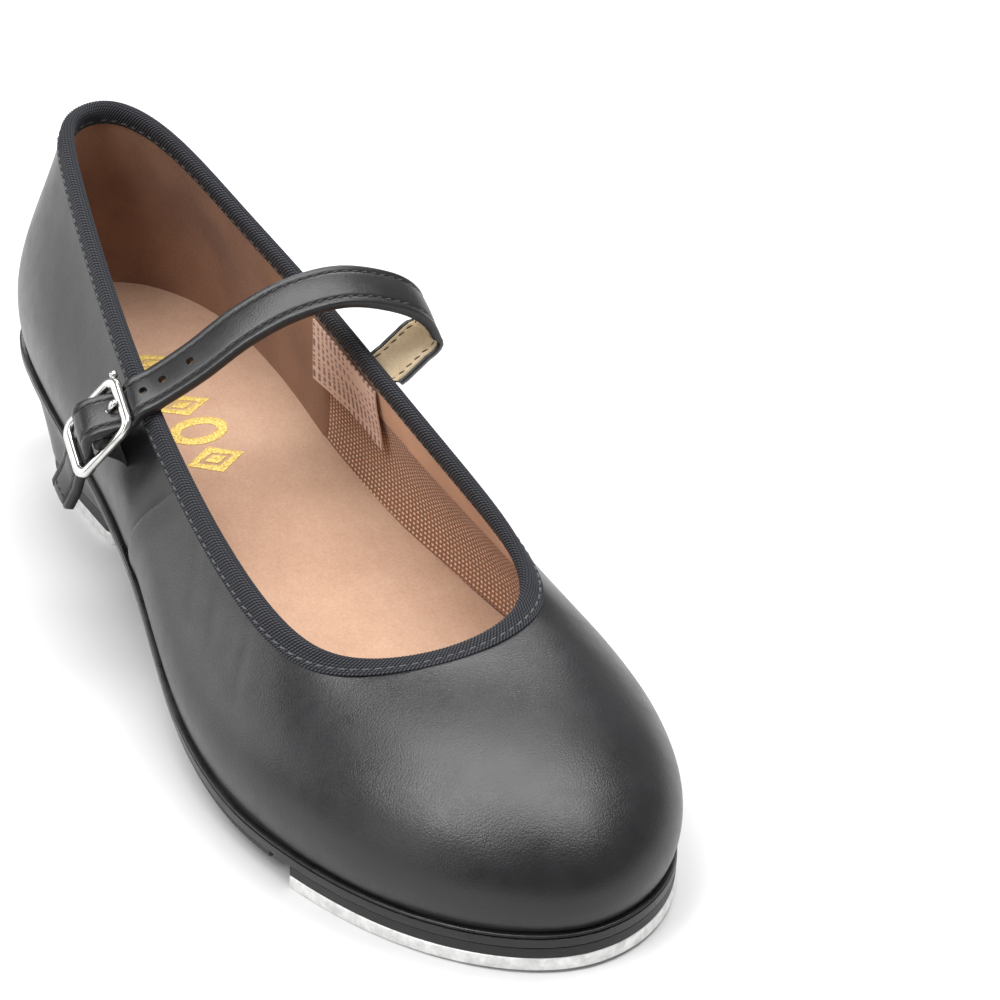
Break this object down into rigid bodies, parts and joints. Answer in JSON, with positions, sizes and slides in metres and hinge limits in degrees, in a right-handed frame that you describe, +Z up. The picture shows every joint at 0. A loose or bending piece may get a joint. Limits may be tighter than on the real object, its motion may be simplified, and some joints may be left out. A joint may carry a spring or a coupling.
{
  "type": "tap shoe",
  "caption": "Right-foot Mary-Jane tap shoe: closed toe, buckled instep strap on an elastic tab, block heel, toe and heel taps.",
  "frame": {"origin": "middle of the heel tap's face on the floor", "axes": "+Z up, +Y from the heel to the toe, +X to the outer side of the foot"},
  "size_m": [0.0888, 0.2437, 0.0895],
  "materials": {
    "upper_leather": "satin black nappa with a fine grain",
    "binding_tape": "matt black twill tape",
    "quarter_lining": "smooth brown lining",
    "vamp_lining": "tan mesh canvas",
    "sock": "peach suede-like fabric",
    "fibre_board": "matt fibre board",
    "stiffener": "stiff non-woven",
    "cork": "cork sheet",
    "spring_steel": "plain",
    "outsole_black": "black edge-dressed sole leather",
    "sole_rubber": "matt black rubber",
    "tap_aluminium": "fine satin casting",
    "screw_steel": "plated steel",
    "heel_black": "black enamelled heel",
    "strap_leather": "satin black leather",
    "suede_lining": "beige suede",
    "elastic_black": "ribbed elastic",
    "buckle_nickel": "polished nickel",
    "label_pink": "plain woven label"
  },
  "bodies": {
    "shoe": {"vamp": "upper_leather", "quarter_lateral": "upper_leather", "quarter_medial": "upper_leather", "topline_binding": "binding_tape", "vamp_lining": "vamp_lining", "quarter_lining": "quarter_lining", "toe_puff": "stiffener", "heel_counter": "stiffener", "insole_sock": "sock", "insole_board": "fibre_board", "shank": "spring_steel", "bottom_filler": "cork", "outsole": "outsole_black", "sole_pad": "sole_rubber", "toe_tap_board": "outsole_black", "toe_tap": "tap_aluminium", "toe_tap_screws": "screw_steel", "heel_block": "heel_black", "heel_top_piece": "sole_rubber", "heel_tap": "tap_aluminium", "heel_tap_screws": "screw_steel", "heel_fixings": "screw_steel", "size_label": "label_pink", "strap_base": "strap_leather", "elastic_band": "elastic_black"},
    "strap": {"strap": "strap_leather", "strap_lining": "suede_lining", "strap_tail": "strap_leather"},
    "elastic_end": {"elastic_loop": "elastic_black"},
    "buckle": {"buckle_frame": "buckle_nickel"},
    "prong": {"buckle_prong": "buckle_nickel"}
  },
  "joints": [
    {"name": "strap_swing", "type": "hinge", "parent": "shoe", "child": "strap", "pos_m": [-0.042, 0.0715, 0.0645], "axis": [0, -0.8572, 0.515], "range_deg": [0, 150], "deforming": ["strap_tail"]},
    {"name": "elastic_stretch", "type": "slide", "parent": "shoe", "child": "elastic_end", "axis": [-0.515, 0.369, 0.7737], "range_m": [0, 0.006], "stiffness_N_per_m": 800, "deforming": ["elastic_band"]},
    {"name": "buckle_rock", "type": "hinge", "parent": "elastic_end", "child": "buckle", "pos_m": [0.033, 0.0635, 0.0551], "axis": [0.1415, 0.9268, -0.3479], "range_deg": [-12, 12]},
    {"name": "prong_lift", "type": "hinge", "parent": "buckle", "child": "prong", "pos_m": [0.033, 0.0635, 0.0551], "axis": [0.1415, 0.9268, -0.3479], "range_deg": [0, 110]}
  ]
}
